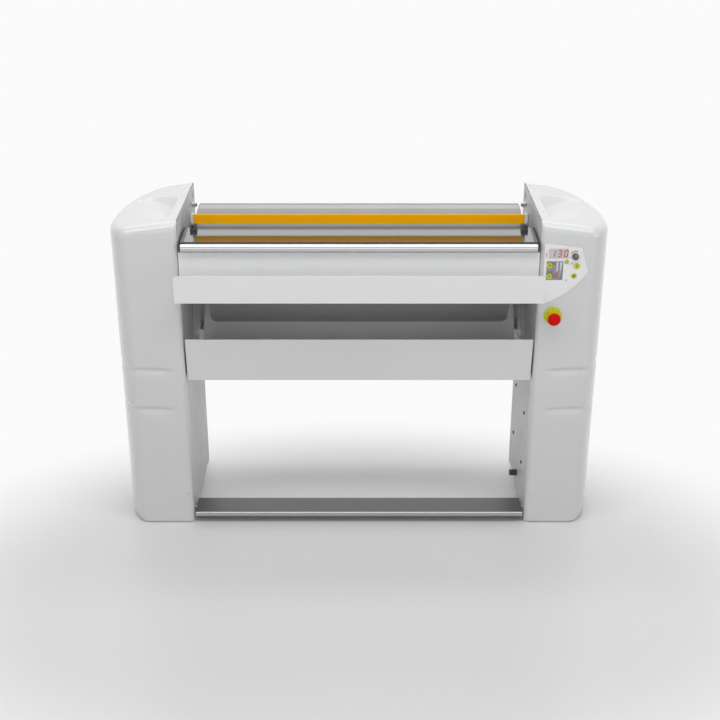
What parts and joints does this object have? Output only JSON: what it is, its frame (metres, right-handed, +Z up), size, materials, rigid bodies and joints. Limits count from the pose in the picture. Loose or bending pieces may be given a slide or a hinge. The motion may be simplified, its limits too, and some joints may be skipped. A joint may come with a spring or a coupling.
{
  "type": "flatwork ironer",
  "caption": "Floor-standing roller ironer: padded roller over a heated chest between two moulded side housings, with foot bar, feed table and linen trays.",
  "frame": {"origin": "middle of the footprint, on the floor under the feet", "axes": "+X to the right along the roller, +Y from the operator to the back, +Z up"},
  "size_m": [1.518, 0.496, 1.028],
  "materials": {
    "housing": "moulded, satin white-grey",
    "frame": "light grey paint on sheet steel",
    "tray": "pale grey paint on sheet steel",
    "stainless": "polished stainless sheet",
    "steel": "bright machined steel",
    "cast": "painted casting",
    "chest": "cast aluminium, polished inside",
    "padding": "needled felt under a cotton wrap",
    "lagging": "mineral fibre mat",
    "black": "black moulding",
    "guard": "orange-yellow powder coat",
    "plate": "printed foil on a thin plate",
    "display": "smoked window",
    "knob": "grey moulding",
    "yellow_key": "soft key, yellow",
    "green_key": "soft key, green",
    "signal_yellow": "bright yellow plastic",
    "signal_red": "signal red plastic"
  },
  "bodies": {
    "machine": {"left_cover": "housing", "right_cover": "housing", "left_side_frame": "frame", "right_side_frame": "frame", "left_front_foot": "steel", "right_front_foot": "steel", "left_rear_foot": "steel", "right_rear_foot": "steel", "front_beam": "steel", "rear_beam": "steel", "feed_table": "stainless", "front_panel": "tray", "upper_tray": "tray", "lower_tray": "tray", "linen_chute": "frame", "deflector": "frame", "rear_cover": "frame", "left_bearing": "cast", "right_bearing": "cast", "drive_chain": "steel", "gear_motor": "cast", "motor_shelf": "steel", "electrical_box": "frame", "cable_gland": "black", "left_guard_block": "black", "right_guard_block": "black", "control_plate": "plate", "display_window": "display", "estop_ring": "signal_yellow"},
    "roller": {"roller_tube": "steel", "roller_padding": "padding", "left_journal": "steel", "right_journal": "steel", "roller_sprocket": "steel"},
    "motor_sprocket": {"motor_sprocket": "steel"},
    "chest": {"chest": "chest", "front_heater": "steel", "middle_heater": "steel", "rear_heater": "steel", "chest_lagging": "lagging", "chest_cover": "frame", "left_chest_arm": "steel", "right_chest_arm": "steel"},
    "pedal": {"foot_bar": "stainless", "left_pedal_arm": "steel", "right_pedal_arm": "steel"},
    "push_rods": {"left_push_rod": "steel", "right_push_rod": "steel"},
    "guard": {"guard_bar": "guard", "left_guard_arm": "tray", "right_guard_arm": "tray"},
    "speed_knob": {"speed_knob": "knob"},
    "plus_key": {"plus_key": "yellow_key"},
    "minus_key": {"minus_key": "yellow_key"},
    "lamp_key": {"lamp_key": "green_key"},
    "start_key": {"start_key": "yellow_key"},
    "stop_key": {"stop_key": "yellow_key"},
    "estop_stem": {"estop_stem": "steel"},
    "estop_head": {"estop_head": "signal_red"}
  },
  "joints": [
    {"name": "roller_spin", "type": "hinge", "parent": "machine", "child": "roller", "pos_m": [0, 0.037, 0.886], "axis": [1, 0, 0], "continuous": true},
    {"name": "motor_spin", "type": "hinge", "parent": "machine", "child": "motor_sprocket", "pos_m": [0.588, 0.037, 0.6], "axis": [1, 0, 0], "continuous": true},
    {"name": "chest_lift", "type": "hinge", "parent": "machine", "child": "chest", "pos_m": [0, -0.143, 0.886], "axis": [1, 0, 0], "range_deg": [0, 2.5]},
    {"name": "pedal_press", "type": "hinge", "parent": "machine", "child": "pedal", "pos_m": [0, -0.003, 0.06], "axis": [1, 0, 0], "range_deg": [0, 4.4]},
    {"name": "push_rod_swing", "type": "hinge", "parent": "pedal", "child": "push_rods", "pos_m": [0, 0.189, 0.06], "axis": [1, 0, 0], "range_deg": [-4.8, 0]},
    {"name": "guard_swing", "type": "hinge", "parent": "machine", "child": "guard", "pos_m": [0, -0.071, 0.985], "axis": [-1, 0, 0], "range_deg": [0, 10], "stiffness_Nm_per_rad": 2},
    {"name": "speed_turn", "type": "hinge", "parent": "machine", "child": "speed_knob", "pos_m": [0.644, -0.19, 0.924], "axis": [0, 1, 0], "range_deg": [-135, 135]},
    {"name": "plus_press", "type": "slide", "parent": "machine", "child": "plus_key", "axis": [0, 1, 0], "range_m": [0, 0.0005], "stiffness_N_per_m": 800},
    {"name": "minus_press", "type": "slide", "parent": "machine", "child": "minus_key", "axis": [0, 1, 0], "range_m": [0, 0.0005], "stiffness_N_per_m": 800},
    {"name": "lamp_press", "type": "slide", "parent": "machine", "child": "lamp_key", "axis": [0, 1, 0], "range_m": [0, 0.0005], "stiffness_N_per_m": 800},
    {"name": "start_press", "type": "slide", "parent": "machine", "child": "start_key", "axis": [0, 1, 0], "range_m": [0, 0.0005], "stiffness_N_per_m": 800},
    {"name": "stop_press", "type": "slide", "parent": "machine", "child": "stop_key", "axis": [0, 1, 0], "range_m": [0, 0.0005], "stiffness_N_per_m": 800},
    {"name": "estop_press", "type": "slide", "parent": "machine", "child": "estop_stem", "axis": [0, 1, 0], "range_m": [0, 0.004], "stiffness_N_per_m": 2000},
    {"name": "estop_twist", "type": "hinge", "parent": "estop_stem", "child": "estop_head", "pos_m": [0.589, -0.21, 0.733], "axis": [0, 1, 0], "range_deg": [0, 30], "stiffness_Nm_per_rad": 0.2}
  ],
  "couplings": [
    {"joint": "motor_spin", "follows": "roller_spin", "ratio": 2},
    {"joint": "pedal_press", "follows": "chest_lift", "ratio": 1.729},
    {"joint": "push_rod_swing", "follows": "chest_lift", "ratio": -1.9007}
  ]
}
